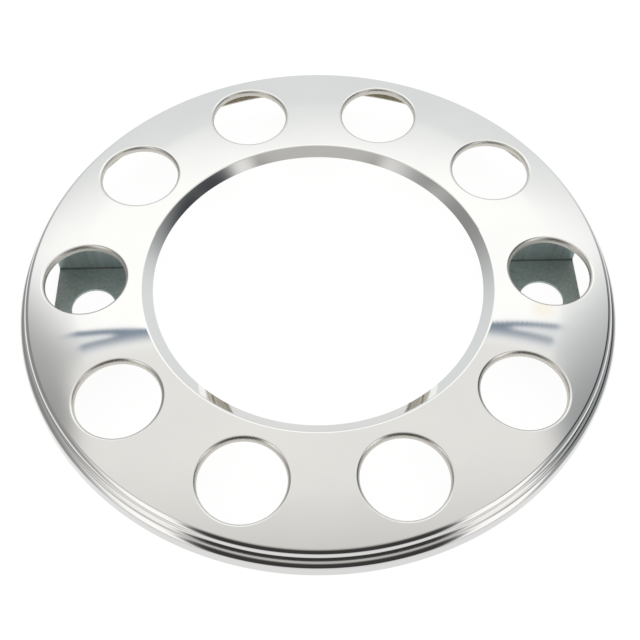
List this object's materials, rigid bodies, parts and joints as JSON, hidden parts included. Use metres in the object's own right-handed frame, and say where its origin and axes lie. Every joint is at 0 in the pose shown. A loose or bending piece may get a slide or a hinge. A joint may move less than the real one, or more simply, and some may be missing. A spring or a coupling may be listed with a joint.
{
  "type": "wheel nut trim ring",
  "caption": "Polished sheet-metal wheel trim ring with collared nut holes, an open centre, a stepped rim and two folded fixing brackets.",
  "frame": {"origin": "wheel axis, in the plane of the undersides of the two bracket feet, which is the wheel's mounting plane", "axes": "+Z along the wheel axis, away from the wheel; +X through the nut hole and stud hole over the right bracket; +Y towards the side that is far from the camera in the picture"},
  "size_m": [0.4293, 0.4294, 0.0375],
  "materials": {
    "polished_stainless": "mirror-polished stainless sheet with fine polishing marks",
    "galvanised_steel": "dull galvanised steel strip with streaks"
  },
  "bodies": {
    "root": {"trim_ring": "polished_stainless", "right_bracket": "galvanised_steel", "left_bracket": "galvanised_steel"}
  },
  "joints": []
}
